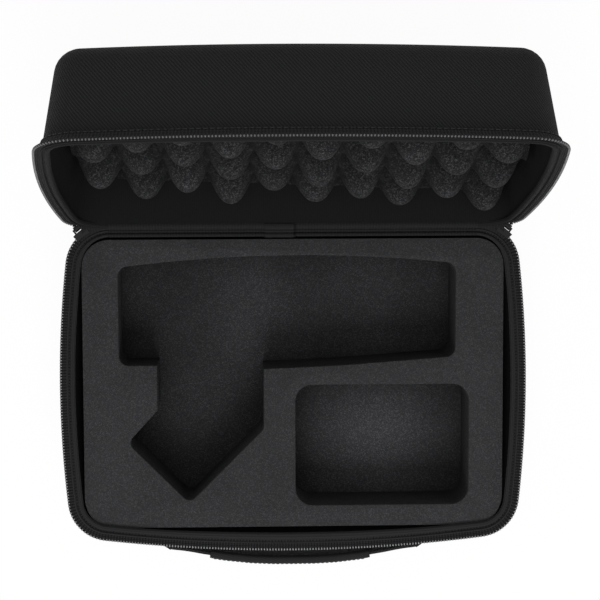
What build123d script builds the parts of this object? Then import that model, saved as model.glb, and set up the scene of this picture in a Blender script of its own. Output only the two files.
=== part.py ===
"""Moulded zip case for a broadcast microphone, drawn with its lid standing open.

Millimetres. X runs to the right, Y to the hinge at the back, Z up. The origin is the middle of
the flat underside of the base. Each half of the case is drawn mouth upwards, with its mouth plane
at z = 0, and is then set in place: the base as drawn, the lid turned over and swung open.
"""
from build123d import *
from math import atan2, cos, degrees, pi, radians, sin, tan
import os

# ---- moulded halves ----
SHELL_WIDTH = 295.0         # across the walls at the rim, at the fullest part of the bowed sides
SHELL_DEPTH = 206.3         # from the back wall to the fullest part of the front wall
SIDE_BOW = 7.6              # how far each side wall swells outwards
FRONT_BOW = 9.6             # how far the front wall swells outwards
FRONT_CORNER = 22.5         # plan radius of the two front corners at the rim
BACK_CORNER = 24.0          # plan radius of the two hinge side corners at the rim
BASE_HEIGHT = 60.0          # underside to mouth plane
LID_HEIGHT = 60.0           # mouth plane to crown
DRAFT = 8.0                 # lean of the walls, in degrees
PANEL_CORNER = 0.6          # plan radius left at the sharpest corners of the flat panel
PANEL_MARGIN = 0.4          # level stretch of the panel next to the round
WALL = 3.0                  # moulded foam board with its outer fabric
LINING = 0.6                # fabric inside the moulding

# ---- rim: rolled binding, zip tape and zip coil ----
BINDING_HEIGHT = 2.4
BINDING_OVERHANG = 0.4      # binding past each face of the wall it covers
BINDING_BEVEL = 0.9
TAPE_REACH = 3.0            # zip tape past the wall
TAPE_THICKNESS = 0.8
COIL_WIDTH = 2.0
COIL_HEIGHT = 1.8
COIL_DROP = 0.1             # coil below the mouth plane
CLOSED_GAP = 0.3            # between the two rims when shut

# ---- hinge ----
OPEN_ANGLE = 106.5          # lid from shut to where it stands
HINGE_SETBACK = 1.0         # hinge line behind the back wall
HINGE_STRIP_THICKNESS = 0.8
HINGE_STRIP_DROP = 14.0     # how far the strip runs down the back wall
HINGE_STRIP_END_GAP = 1.0   # strip to the start of the back corners

# ---- foam in the base ----
INSERT_CORNER = 18.0
INSERT_SIDE_GAP = 5.9       # insert to lining at the top, where the sides are fullest
INSERT_FRONT_GAP = 8.5
INSERT_BACK_GAP = 1.7
INSERT_DROP = 3.0           # top of the insert below the mouth plane
RECESS_DEPTH = 42.0
PAD_EDGE_GAP = 1.6          # floor pad to lining at the pad's top edge

# ---- microphone recess, as X and distance in front of the hinge line ----
MIC_LEFT = -114.0
MIC_RIGHT = 106.0
MIC_BACK_LEFT = 25.0
MIC_BACK_MIDDLE = 17.5
MIC_BACK_RIGHT = 23.2
MIC_FRONT_RIGHT = 84.3
MIC_FRONT_MIDDLE = 91.8
MIC_FRONT_LEFT = 89.2
MIC_CORNER = 6.5
BELLY = 1.0                 # swell of the front edge beyond a straight line
YOKE_LEFT = -89.2
YOKE_RIGHT = -19.7
YOKE_TIP_X = -68.8
YOKE_TIP_WALL = 14.1        # foam left in front of the yoke's tip
YOKE_HEEL_X = -108.9
YOKE_HEEL_BACK = 40.3       # heel behind the tip
YOKE_RIGHT_END_BACK = 49.1
YOKE_LEFT_END_BACK = 61.7
YOKE_ROUND = 5.2

# ---- accessory recess, the same way ----
TRAY_LEFT = 1.0
TRAY_RIGHT = 115.0
TRAY_BACK = 102.7
TRAY_FRONT_WALL = 12.3      # foam left in front of the tray
TRAY_CORNER = 11.0

# ---- egg crate foam in the lid ----
PEAK_PITCH = 26.5
PEAK_HEIGHT = 24.0
PEAK_FOOT = 12.0            # radius of a peak where it meets the sheet
PEAK_TIP = 5.0              # radius of its blunt end
PEAK_SIDES = 8
PEAK_BEVEL = 2.5            # round the blunt end
PEAK_DROP = 10.0            # tips below the mouth plane
PEAK_COLUMNS = 10
PEAK_ROWS = 7
FIRST_PEAK_ROW = 25.0       # first row of peaks in front of the hinge line
SHEET_EDGE = 10.0           # depth of the sheet's upright edge
SHEET_EDGE_GAP = 1.6        # sheet to lining at the sheet's edge

# ---- handle on the front wall ----
HANDLE_DROP = 29.0          # middle of the handle below the mouth plane
STRAP_WIDTH = 25.0
STRAP_THICKNESS = 2.8
STRAP_SHOULDER_SETBACK = 5.0 # from each end of the swinging strap to its shoulder
STRAP_SHOULDER_REACH = 13.5
STRAP_CREST_SPAN = 50.0
STRAP_REACH = 20.8          # middle of the strap in front of the wall at the grip
STRAP_SHOULDER_BEND = 12.0
STRAP_CREST_BEND = 200.0
ROOT_SLIT = 0.3             # between the swinging strap and each sewn end
GRIP_LENGTH = 106.0
GRIP_WIDTH = 31.0
GRIP_THICKNESS = 8.0
GRIP_ROUND = 3.0
PATCH_SETBACK = 44.5        # from the side of the case to the middle of a sewn end
PATCH_TO_STRAP = 21.0       # from there to the end of the swinging strap
PATCH_THICKNESS = 1.5
PATCH_LENGTH = 34.0
PATCH_WIDTH = 33.0
PATCH_CORNER = 5.0

# ---- zip sliders, parked on the back corners ----
SLIDER_PARK = 51.5          # round the back corner from the side, in degrees
SLIDER_LENGTH = 10.0
SLIDER_WALL = 1.0
SLIDER_PLATE = 0.7
SLIDER_CLEARANCE = 0.35     # above and below the coils
SLIDER_SIDE_CLEARANCE = 0.8 # outside the coils
CHAIN_END_GAP = 4.0         # slider to the ends of the chains, in degrees round the corner
STOP_LENGTH = 1.2
SLIDER_LIP = 0.5            # slider plates inside the coil
BAIL_RADIUS = 0.6
BAIL_REACH = 2.3            # bail bar outside the slider wall
BAIL_SPAN = 7.0
BAIL_POST = 1.0
EYE_CLEARANCE = 0.3
EYE_WALL = 1.0
PULL_LENGTH = 24.0          # below the bail bar
PULL_WIDTH = 7.0
PULL_THICKNESS = 1.2
PULL_CORNER = 2.0
PULL_HOLE = 1.6             # radius of the cord hole at the foot of the pull

# ---- what follows from the sizes above ----
HALF_WIDTH = SHELL_WIDTH / 2
HALF_DEPTH = SHELL_DEPTH / 2
SIDE_RADIUS = (HALF_DEPTH**2 + SIDE_BOW**2) / (2 * SIDE_BOW)
FRONT_CHORD = HALF_WIDTH - SIDE_BOW
FRONT_RADIUS = (FRONT_CHORD**2 + FRONT_BOW**2) / (2 * FRONT_BOW)
SKIN = WALL + LINING
FLANGE = TAPE_REACH + COIL_WIDTH
COIL_LOW = -COIL_DROP - COIL_HEIGHT
HINGE_Y = HALF_DEPTH + HINGE_SETBACK
HINGE_Z = BASE_HEIGHT + CLOSED_GAP / 2
LEAN = radians(DRAFT)
INSERT_FLOOR = INSERT_DROP + RECESS_DEPTH
INSERT_INSET = SKIN / cos(LEAN) + INSERT_DROP * tan(LEAN)
INSERT_WIDTH = SHELL_WIDTH - 2 * (INSERT_INSET + INSERT_SIDE_GAP)
INSERT_BACK = HALF_DEPTH - INSERT_INSET - INSERT_BACK_GAP
INSERT_DEPTH = INSERT_BACK + HALF_DEPTH - INSERT_INSET - INSERT_FRONT_GAP
INSERT_FRONT = HINGE_Y - INSERT_BACK + INSERT_DEPTH
YOKE_TIP_FORWARD = INSERT_FRONT - YOKE_TIP_WALL
TRAY_FRONT = INSERT_FRONT - TRAY_FRONT_WALL
PATCH_SPAN = SHELL_WIDTH - 2 * PATCH_SETBACK
STRAP_SPAN = PATCH_SPAN - 2 * PATCH_TO_STRAP
STRAP_SHOULDER_SPAN = STRAP_SPAN - 2 * STRAP_SHOULDER_SETBACK
SIDE_X = HALF_WIDTH - SIDE_RADIUS
FRONT_Y = FRONT_RADIUS - HALF_DEPTH
CORNER_Y = HALF_DEPTH - BACK_CORNER
CORNER_X = SIDE_X + ((SIDE_RADIUS - BACK_CORNER)**2 - CORNER_Y**2) ** 0.5
CHAIN_RADIUS = BACK_CORNER + FLANGE
SLIDER_HALF_TURN = degrees(SLIDER_LENGTH / 2 / CHAIN_RADIUS)
STOP_TURN = degrees(STOP_LENGTH / CHAIN_RADIUS)
BASE_CHAIN_END = SLIDER_PARK + SLIDER_HALF_TURN + CHAIN_END_GAP
LID_CHAIN_END = SLIDER_PARK - SLIDER_HALF_TURN - CHAIN_END_GAP
SLIDER_INNER = CHAIN_RADIUS + SLIDER_SIDE_CLEARANCE
SLIDER_OUTER = SLIDER_INNER + SLIDER_WALL
SLIDER_LOW = COIL_LOW - SLIDER_CLEARANCE
SLIDER_HIGH = CLOSED_GAP - COIL_LOW + SLIDER_CLEARANCE
BAIL_X = SLIDER_OUTER + BAIL_REACH
BAIL_Z = (SLIDER_LOW + SLIDER_HIGH) / 2
FAR = SHELL_WIDTH + SHELL_DEPTH


# ---- plan outlines and moulded forms ----
def rim_outline(out):
    """Plan of a half as a face, moved outwards by out, with bowed sides and front."""
    side_disc = Circle(SIDE_RADIUS + out)
    body = Pos(SIDE_X, 0) * side_disc
    body &= Pos(-SIDE_X, 0) * side_disc
    body &= Pos(0, FRONT_Y) * Circle(FRONT_RADIUS + out)
    body &= Pos(0, HALF_DEPTH + out - FAR) * Rectangle(2 * FAR, 2 * FAR)
    body = fillet(body.vertices().sort_by(Axis.Y)[:2], FRONT_CORNER + out)
    return fillet(body.vertices().sort_by(Axis.Y)[-2:], BACK_CORNER + out)


def front_corner_centre():
    """Centre of the right front corner, which touches the side's bow and the front's bow."""
    along = Vector(-SIDE_X, FRONT_Y)
    span = along.length
    to_side = SIDE_RADIUS - FRONT_CORNER
    to_front = FRONT_RADIUS - FRONT_CORNER
    foot = (to_side**2 - to_front**2 + span**2) / (2 * span)
    rise = (to_side**2 - foot**2) ** 0.5
    along = along.normalized()
    across_line = Vector(along.Y, -along.X)
    return Vector(SIDE_X, 0) + along * foot + across_line * rise


def right_arcs():
    """Arcs of the rim from the middle of the front to the back: centre, radius, first and last angle."""
    front_corner = front_corner_centre()
    front_meets = degrees(atan2(front_corner.Y - FRONT_Y, front_corner.X))
    side_meets = degrees(atan2(front_corner.Y, front_corner.X - SIDE_X))
    back_meets = degrees(atan2(CORNER_Y, CORNER_X - SIDE_X))
    return [
        ((0, FRONT_Y), FRONT_RADIUS, -90, front_meets),
        ((front_corner.X, front_corner.Y), FRONT_CORNER, front_meets, side_meets),
        ((SIDE_X, 0), SIDE_RADIUS, side_meets, back_meets),
        ((CORNER_X, CORNER_Y), BACK_CORNER, back_meets, 90),
    ]


def round_rim(profile):
    """Carry a profile, drawn as distance outside the wall and height, once round the rim."""
    right = extrude(Plane.YZ * Pos(HALF_DEPTH, 0) * profile, CORNER_X)
    for centre, radius, start, end in right_arcs():
        stretch = revolve(Plane.XZ * Pos(radius, 0) * profile, Axis.Z, end - start)
        right += Pos(*centre) * Rot(0, 0, start) * stretch
    return right + mirror(right, Plane.YZ)


def wall_inset(depth, skin):
    """Inset of a wall face at a depth below the mouth plane, skin inside the outer face."""
    return skin / cos(LEAN) + depth * tan(LEAN)


def crown_radius(height):
    """Radius of the round between wall and panel that leaves the panel its sharpest corners."""
    room = min(FRONT_CORNER, BACK_CORNER) - PANEL_CORNER - PANEL_MARGIN - height * tan(LEAN)
    return room / (1 / cos(LEAN) - tan(LEAN))


def panel_inset(height):
    """Inset of the line where the round has become the flat panel."""
    radius = crown_radius(height)
    return wall_inset(height - radius, radius) + PANEL_MARGIN


def moulding(height, outer, inner):
    """Moulded layer between two skins, open at the mouth, below the binding."""
    flat = panel_inset(height)
    outer_bend = (-wall_inset(height - outer, outer), outer - height)
    inner_bend = (-wall_inset(height - inner, inner), inner - height)
    profile = Polygon(
        (-wall_inset(BINDING_HEIGHT, outer), -BINDING_HEIGHT),
        outer_bend,
        (-flat, outer - height),
        (-flat, inner - height),
        inner_bend,
        (-wall_inset(BINDING_HEIGHT, inner), -BINDING_HEIGHT),
        align=None,
    )
    profile = round_corners(profile, [outer_bend], crown_radius(height) - outer)
    profile = round_corners(profile, [inner_bend], crown_radius(height) - inner)
    return round_rim(profile) + panel(flat, outer - height, inner - height)


def panel(inset, low, high):
    """Flat plate inside the rim outline, from height low to high."""
    return Pos(0, 0, low) * extrude(rim_outline(-inset), high - low)


def ring(inner, outer, low, high):
    """Band round the rim between two offsets of the wall, from height low to high."""
    return round_rim(Pos((inner + outer) / 2, (low + high) / 2) * Rectangle(outer - inner, high - low))


def round_corners(face, corners, radius):
    """Round the vertices of a face that lie at the given points."""
    nearest = [face.vertices().sort_by_distance((*corner, 0))[0] for corner in corners]
    return fillet(nearest, radius)


def behind_chain(end_angle):
    """Prism over everything on the hinge side of the two ends of a zip chain."""
    reach_x = CORNER_X + FAR * cos(radians(end_angle))
    reach_y = CORNER_Y + FAR * sin(radians(end_angle))
    corners = [(-CORNER_X, CORNER_Y), (-reach_x, reach_y), (reach_x, reach_y), (CORNER_X, CORNER_Y)]
    return extrude(Polygon(*corners, align=None), FAR, both=True)


# ---- pieces that both halves have ----
def shell(height):
    return moulding(height, 0, WALL)


def lining(height):
    return moulding(height, WALL, SKIN)


def binding():
    width = SKIN + 2 * BINDING_OVERHANG
    profile = Pos(BINDING_OVERHANG - width / 2, -BINDING_HEIGHT / 2) * Rectangle(width, BINDING_HEIGHT)
    return round_rim(chamfer(profile.vertices().group_by(Axis.Y)[-1], BINDING_BEVEL))


def zip_tape(end_angle):
    low = COIL_LOW + (COIL_HEIGHT - TAPE_THICKNESS) / 2
    return ring(BINDING_OVERHANG, TAPE_REACH, low, low + TAPE_THICKNESS) - behind_chain(end_angle)


def zip_coil(end_angle):
    return ring(TAPE_REACH, FLANGE, COIL_LOW, -COIL_DROP) - behind_chain(end_angle)


def corner_sweep(near, far, low, high, angle, turn):
    """Curved bar round the right back corner, centred on angle, between two radii and two heights."""
    profile = Plane.XZ * Pos((near + far) / 2, (low + high) / 2) * Rectangle(far - near, high - low)
    bar = revolve(profile, Axis.Z, turn)
    return Pos(CORNER_X, CORNER_Y, 0) * Rot(0, 0, angle - turn / 2) * bar


def zip_stops(end_angle):
    """A metal clip that closes each end of a chain, beyond its last tooth."""
    start = end_angle + STOP_TURN / 2
    clip = corner_sweep(BACK_CORNER + TAPE_REACH, CHAIN_RADIUS, COIL_LOW, -COIL_DROP, start, STOP_TURN)
    return Compound([clip, mirror(clip, Plane.YZ)])


def hinge_strip():
    """Fabric strip down the back wall, up to the hinge line."""
    face_top = HALF_DEPTH - wall_inset(BINDING_HEIGHT, 0)
    face_foot = HALF_DEPTH - wall_inset(HINGE_STRIP_DROP, 0)
    outside = HALF_DEPTH + HINGE_STRIP_THICKNESS
    points = [
        (face_foot, -HINGE_STRIP_DROP),
        (face_foot + HINGE_STRIP_THICKNESS, -HINGE_STRIP_DROP),
        (outside, -BINDING_HEIGHT),
        (outside, 0),
        (HALF_DEPTH + BINDING_OVERHANG, 0),
        (HALF_DEPTH + BINDING_OVERHANG, -BINDING_HEIGHT),
        (face_top, -BINDING_HEIGHT),
    ]
    return extrude(Plane.YZ * Polygon(*points, align=None), CORNER_X - HINGE_STRIP_END_GAP, both=True)


# ---- foam in the base ----
def insert_blank():
    """Foam block that narrows with the walls, before its recesses are cut."""
    top = RectangleRounded(INSERT_WIDTH, INSERT_DEPTH, INSERT_CORNER)
    place = Pos(0, INSERT_BACK - INSERT_DEPTH / 2, -INSERT_DROP)
    return place * extrude(top, amount=-RECESS_DEPTH, taper=DRAFT)


def from_hinge(x, forward):
    """Plan point at a distance in front of the hinge line."""
    return (x, HINGE_Y - forward)


def mic_recess():
    """Plan of the recess for the microphone's body, with its yoke standing off the front."""
    back_left = from_hinge(MIC_LEFT, MIC_BACK_LEFT)
    back_right = from_hinge(MIC_RIGHT, MIC_BACK_RIGHT)
    front_right = from_hinge(MIC_RIGHT, MIC_FRONT_RIGHT)
    yoke_right = from_hinge(YOKE_RIGHT, MIC_FRONT_MIDDLE)
    yoke_right_end = from_hinge(YOKE_RIGHT, YOKE_TIP_FORWARD - YOKE_RIGHT_END_BACK)
    yoke_tip = from_hinge(YOKE_TIP_X, YOKE_TIP_FORWARD)
    yoke_heel = from_hinge(YOKE_HEEL_X, YOKE_TIP_FORWARD - YOKE_HEEL_BACK)
    front_left = from_hinge(MIC_LEFT, MIC_FRONT_LEFT)
    belly_middle = ((MIC_RIGHT + YOKE_RIGHT) / 2, (MIC_FRONT_RIGHT + MIC_FRONT_MIDDLE) / 2 + BELLY)
    rest = Polyline(
        yoke_right,
        yoke_right_end,
        yoke_tip,
        yoke_heel,
        from_hinge(YOKE_LEFT, YOKE_TIP_FORWARD - YOKE_LEFT_END_BACK),
        from_hinge(YOKE_LEFT, MIC_FRONT_LEFT),
        front_left,
        back_left,
    )
    edges = [
        ThreePointArc(back_left, from_hinge(0, MIC_BACK_MIDDLE), back_right),
        Line(back_right, front_right),
        ThreePointArc(front_right, from_hinge(*belly_middle), yoke_right),
    ]
    face = make_face(edges + list(rest.edges()))
    face = round_corners(face, [back_left, back_right, front_right, front_left], MIC_CORNER)
    return round_corners(face, [yoke_right_end, yoke_tip, yoke_heel], YOKE_ROUND)


def tray_recess():
    left, front = from_hinge(TRAY_LEFT, TRAY_FRONT)
    right, back = from_hinge(TRAY_RIGHT, TRAY_BACK)
    tray = RectangleRounded(right - left, back - front, TRAY_CORNER)
    return Pos((left + right) / 2, (front + back) / 2) * tray


def foam_insert():
    cutters = mic_recess() + tray_recess()
    return insert_blank() - extrude(cutters, -BASE_HEIGHT)


def floor_pad():
    """Pad under the insert; it closes the recesses and stands on the lining."""
    edge = wall_inset(INSERT_FLOOR, SKIN) + PAD_EDGE_GAP
    flat = panel_inset(BASE_HEIGHT)
    foot = SKIN - BASE_HEIGHT
    rim = Polygon((-edge, -INSERT_FLOOR), (-flat, -INSERT_FLOOR), (-flat, foot), align=None)
    return round_rim(rim) + panel(flat, foot, -INSERT_FLOOR)


# ---- foam in the lid ----
def egg_crate_foam():
    """Sheet against the crown with blunt peaks in a chequered pattern."""
    top = -PEAK_DROP - PEAK_HEIGHT
    edge = wall_inset(SHEET_EDGE - top, SKIN) + SHEET_EDGE_GAP
    flat = panel_inset(LID_HEIGHT)
    foot = SKIN - LID_HEIGHT
    rim = Polygon((-edge, top), (-flat, top), (-flat, foot), (-edge, top - SHEET_EDGE), align=None)
    foam = round_rim(rim) + panel(flat, foot, top)
    room = panel(edge, top, -PEAK_DROP)
    flank = (PEAK_FOOT - PEAK_TIP) * cos(pi / PEAK_SIDES)
    peak_plan = RegularPolygon(PEAK_FOOT, PEAK_SIDES)
    peak = extrude(peak_plan, PEAK_HEIGHT, taper=degrees(atan2(flank, PEAK_HEIGHT)))
    peak = chamfer(peak.edges().group_by(Axis.Z)[-1], PEAK_BEVEL)
    peaks = Part()
    for column in range(PEAK_COLUMNS):
        x = (column - (PEAK_COLUMNS - 1) / 2) * PEAK_PITCH
        for row in range((column + 1) % 2, PEAK_ROWS, 2):
            y = HINGE_Y - FIRST_PEAK_ROW - row * PEAK_PITCH
            peaks += Pos(x, y, top) * peak & room
    return foam + peaks


# ---- handle ----
def front_wall_y(x):
    """Outer face of the front wall at the height of the handle."""
    radius = FRONT_RADIUS - wall_inset(HANDLE_DROP, 0)
    return FRONT_RADIUS - HALF_DEPTH - (radius**2 - x**2) ** 0.5


def strap_line():
    """Middle line of the strap in plan, from one sewn end to the other."""
    wall = front_wall_y(0)
    half = [
        (PATCH_SPAN / 2, front_wall_y(PATCH_SPAN / 2) - STRAP_THICKNESS / 2),
        (STRAP_SHOULDER_SPAN / 2, wall - STRAP_SHOULDER_REACH),
        (STRAP_CREST_SPAN / 2, wall - STRAP_REACH),
    ]
    other_half = [(-x, y) for x, y in reversed(half)]
    bends = [STRAP_SHOULDER_BEND, STRAP_CREST_BEND]
    return FilletPolyline(*half, *other_half, radius=bends + bends[::-1])


def strap_band(thickness, width):
    """Band of a thickness about the strap's middle line, width tall."""
    face = trace(strap_line(), line_width=thickness)
    return Pos(0, 0, -HANDLE_DROP) * extrude(face, width / 2, both=True)


def across(span):
    """Everything within half a span of the middle of the case."""
    return Box(span, 2 * FAR, 2 * FAR)


def handle_strap():
    return strap_band(STRAP_THICKNESS, STRAP_WIDTH) & across(STRAP_SPAN - 2 * ROOT_SLIT)


def handle_grip():
    """Padded sleeve, closed round the strap."""
    sleeve = strap_band(GRIP_THICKNESS, GRIP_WIDTH) & across(GRIP_LENGTH)
    rims = sleeve.edges().group_by(Axis.Z)
    long_edges = (rims[0] + rims[-1]).filter_by(lambda edge: edge.bounding_box().size.X > ROOT_SLIT)
    return fillet(long_edges, GRIP_ROUND) - strap_band(STRAP_THICKNESS, STRAP_WIDTH)


def handle_anchor():
    """Right sewn end: a patch on the wall and the strap that leaves it."""
    middle = Pos(PATCH_SPAN / 2, -HANDLE_DROP)
    patch = Plane.XZ * middle * RectangleRounded(PATCH_LENGTH, PATCH_WIDTH, PATCH_CORNER)
    anchor = extrude(patch, FAR) & moulding(BASE_HEIGHT, -PATCH_THICKNESS, 0)
    right_side = Pos(FAR + STRAP_SPAN / 2, 0, 0) * across(2 * FAR)
    anchor += strap_band(STRAP_THICKNESS, STRAP_WIDTH) & right_side
    return anchor - shell(BASE_HEIGHT)


# ---- zip sliders ----
def at_park(piece):
    """Set a piece drawn on the X axis, about the corner's centre, where the slider is parked."""
    return Pos(CORNER_X, CORNER_Y, 0) * Rot(0, 0, SLIDER_PARK) * piece


def zip_slider():
    """Right slider: two plates and a wall that hold both coils, with a bail for the pull."""
    turn = 2 * SLIDER_HALF_TURN
    lip = BACK_CORNER + TAPE_REACH - SLIDER_LIP
    wall_low = SLIDER_LOW - SLIDER_PLATE
    wall_high = SLIDER_HIGH + SLIDER_PLATE
    slider = corner_sweep(SLIDER_INNER, SLIDER_OUTER, wall_low, wall_high, SLIDER_PARK, turn)
    slider += corner_sweep(lip, SLIDER_INNER, wall_low, SLIDER_LOW, SLIDER_PARK, turn)
    slider += corner_sweep(lip, SLIDER_INNER, SLIDER_HIGH, wall_high, SLIDER_PARK, turn)
    bail = Pos(BAIL_X, 0, BAIL_Z) * Rot(90, 0, 0) * Cylinder(BAIL_RADIUS, BAIL_SPAN)
    post_length = BAIL_X - SLIDER_INNER - SLIDER_WALL / 2
    post = Box(post_length, BAIL_POST, 2 * BAIL_RADIUS)
    for side in (-1, 1):
        y = side * (BAIL_SPAN - BAIL_POST) / 2
        bail += Pos(BAIL_X - post_length / 2, y, BAIL_Z) * post
    return slider + at_park(bail)


def zip_pull():
    """Right pull tab, hanging from the bail by its eye."""
    inner = BAIL_RADIUS + EYE_CLEARANCE
    outer = inner + EYE_WALL
    eye_width = BAIL_SPAN - 2 * BAIL_POST - 2 * EYE_CLEARANCE
    length = PULL_LENGTH - inner
    plate = Plane.YZ * Pos(0, -inner - length / 2) * RectangleRounded(PULL_WIDTH, length, PULL_CORNER)
    hole = Plane.YZ * Pos(0, PULL_WIDTH / 2 - PULL_LENGTH) * Circle(PULL_HOLE)
    pull = extrude(plate - hole, PULL_THICKNESS / 2, both=True)
    pull -= Cylinder(outer, PULL_WIDTH, rotation=(90, 0, 0))
    pull += Cylinder(outer, eye_width, rotation=(90, 0, 0))
    pull -= Cylinder(inner, PULL_WIDTH, rotation=(90, 0, 0))
    return at_park(Pos(BAIL_X, 0, BAIL_Z) * pull)


# ---- placing and writing ----
def on_base(piece):
    return Pos(0, 0, BASE_HEIGHT) * piece


def on_lid(piece):
    """Turn a piece of the lid mouth down over the base, then swing it open on the hinge line."""
    shut = Pos(0, 0, BASE_HEIGHT + CLOSED_GAP) * mirror(piece, Plane.XY)
    swing = Pos(0, HINGE_Y, HINGE_Z) * Rot(-OPEN_ANGLE, 0, 0) * Pos(0, -HINGE_Y, -HINGE_Z)
    return swing * shut


def left(piece):
    return mirror(piece, Plane.YZ)


def nodes():
    """Every piece by name, where it stands with the case open."""
    anchor = handle_anchor()
    slider = zip_slider()
    pull = zip_pull()
    return {
        "base_shell": on_base(shell(BASE_HEIGHT)),
        "base_lining": on_base(lining(BASE_HEIGHT)),
        "base_binding": on_base(binding()),
        "base_zip_tape": on_base(zip_tape(BASE_CHAIN_END)),
        "base_zip_coil": on_base(zip_coil(BASE_CHAIN_END)),
        "base_zip_stops": on_base(zip_stops(BASE_CHAIN_END)),
        "base_hinge_strip": on_base(hinge_strip()),
        "foam_insert": on_base(foam_insert()),
        "insert_floor_pad": on_base(floor_pad()),
        "handle_anchor_left": on_base(left(anchor)),
        "handle_anchor_right": on_base(anchor),
        "handle_strap": on_base(handle_strap()),
        "handle_grip": on_base(handle_grip()),
        "lid_shell": on_lid(shell(LID_HEIGHT)),
        "lid_lining": on_lid(lining(LID_HEIGHT)),
        "lid_binding": on_lid(binding()),
        "lid_zip_tape": on_lid(zip_tape(LID_CHAIN_END)),
        "lid_zip_coil": on_lid(zip_coil(LID_CHAIN_END)),
        "lid_zip_stops": on_lid(zip_stops(LID_CHAIN_END)),
        "lid_hinge_strip": on_lid(hinge_strip()),
        "lid_egg_crate_foam": on_lid(egg_crate_foam()),
        "zip_slider_left": on_base(left(slider)),
        "zip_slider_right": on_base(slider),
        "zip_pull_left": on_base(left(pull)),
        "zip_pull_right": on_base(pull),
    }


os.makedirs("parts", exist_ok=True)
for name, piece in nodes().items():
    export_step(piece, f"parts/{name}.step")
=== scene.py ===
"""Looks of a moulded zip case for a microphone, standing open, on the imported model's frame."""
import bpy
import bmesh
import random
from math import atan2, cos, degrees, hypot, pi, radians, sin, tan
from mathutils import Matrix, Vector


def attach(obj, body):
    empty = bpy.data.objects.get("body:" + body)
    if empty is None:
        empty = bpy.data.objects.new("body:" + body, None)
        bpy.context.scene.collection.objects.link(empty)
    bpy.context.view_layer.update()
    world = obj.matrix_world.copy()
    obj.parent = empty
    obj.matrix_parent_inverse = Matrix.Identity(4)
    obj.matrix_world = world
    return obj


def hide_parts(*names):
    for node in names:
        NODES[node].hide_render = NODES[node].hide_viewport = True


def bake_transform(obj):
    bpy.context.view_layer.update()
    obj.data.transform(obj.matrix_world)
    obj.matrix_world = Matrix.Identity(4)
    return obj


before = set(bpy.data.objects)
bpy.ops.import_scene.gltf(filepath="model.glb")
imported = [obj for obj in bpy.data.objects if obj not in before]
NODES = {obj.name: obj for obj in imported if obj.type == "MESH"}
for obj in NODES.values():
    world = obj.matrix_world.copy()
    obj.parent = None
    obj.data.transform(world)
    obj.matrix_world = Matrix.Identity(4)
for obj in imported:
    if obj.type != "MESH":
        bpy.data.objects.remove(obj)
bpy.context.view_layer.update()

# ---- sizes of the case, in millimetres and degrees ----
# Each half is drawn mouth up, with its mouth plane at zero, and then put in its place.
MM = 0.001
WIDTH, DEPTH = 295.0, 206.3
SIDE_BOW, FRONT_BOW = 7.6, 9.6
FRONT_CORNER, BACK_CORNER = 22.5, 24.0
HEIGHT = 60.0
CROWN = 15.0
LEAN = radians(8.0)  # of the walls
SHELL_THICK, LINING_THICK = 2.9, 0.5
SKIN = 3.6  # from the outside of the shell to the inside of the lining
CLOTH_TOP = 1.6  # how deep the cover and the lining begin, under the binding
BIND_DEEP = 2.4
CHAIN_OUT, CHAIN_MIDDLE = 5.0, -0.75
TOOTH_PITCH, TOOTH_LONG, TOOTH_RADIUS = 1.88, 1.45, 0.5
SHUT_GAP = 0.3
HINGE_Y, HINGE_Z = 104.15, 60.15
OPEN_TURN = 106.5
# Where the chains and the lid's tape end, as turns on the back corners.
BASE_CHAIN_TURN, LID_CHAIN_TURN, LID_TAPE_TURN = 65.4, 37.6, 58.0

# The egg-crate sheet: the pitch of its lobes, how far they reach from their middle plane,
# and how much the sheet leans from its middle to one side.
LOBE_COLUMN, LOBE_ROW = 26.9, 26.3
LOBE_REACH, LOBE_MIDDLE = 15.8, -26.0
FIRST_LOBE_ROW = 25.0
LOBE_LEAN, LOBE_LEAN_SPAN = 5.0, 135.0
SHEET_WALL, SHEET_FOOT = 44.0, 56.3  # depths where its cut edge bends and ends

HANDLE_UP = 31.0
STRAP_END_X, STRAP_END_Y = 81.6, -109.4
SLEEVE_LEFT, SLEEVE_RIGHT = -55.5, 50.5

SIDE_RADIUS = ((DEPTH / 2) ** 2 + SIDE_BOW**2) / (2 * SIDE_BOW)
FRONT_CHORD = WIDTH / 2 - SIDE_BOW
FRONT_RADIUS = (FRONT_CHORD**2 + FRONT_BOW**2) / (2 * FRONT_BOW)
SIDE_X = WIDTH / 2 - SIDE_RADIUS
FRONT_Y = FRONT_RADIUS - DEPTH / 2
BACK_Y = DEPTH / 2 - BACK_CORNER
BACK_X = SIDE_X + ((SIDE_RADIUS - BACK_CORNER) ** 2 - BACK_Y**2) ** 0.5


# ---- the rim as a walk of points with their outward directions ----
def front_corner_middle():
    span = hypot(SIDE_X, FRONT_Y)
    ux, uy = -SIDE_X / span, FRONT_Y / span
    a, b = SIDE_RADIUS - FRONT_CORNER, FRONT_RADIUS - FRONT_CORNER
    along = (a * a - b * b + span * span) / (2 * span)
    rise = (a * a - along * along) ** 0.5
    return SIDE_X + ux * along + uy * rise, uy * along - ux * rise


FRONT_CX, FRONT_CY = front_corner_middle()
FRONT_TURN = degrees(atan2(FRONT_CY - FRONT_Y, FRONT_CX))
SIDE_TURN = degrees(atan2(FRONT_CY, FRONT_CX - SIDE_X))
BACK_TURN = degrees(atan2(BACK_Y, BACK_X - SIDE_X))
# Middle, radius, and first and last turn of each arc from the middle of the front.
ARCS = [
    (0.0, FRONT_Y, FRONT_RADIUS, -90.0, FRONT_TURN),
    (FRONT_CX, FRONT_CY, FRONT_CORNER, FRONT_TURN, SIDE_TURN),
    (SIDE_X, 0.0, SIDE_RADIUS, SIDE_TURN, BACK_TURN),
    (BACK_X, BACK_Y, BACK_CORNER, BACK_TURN, 90.0),
]


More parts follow.
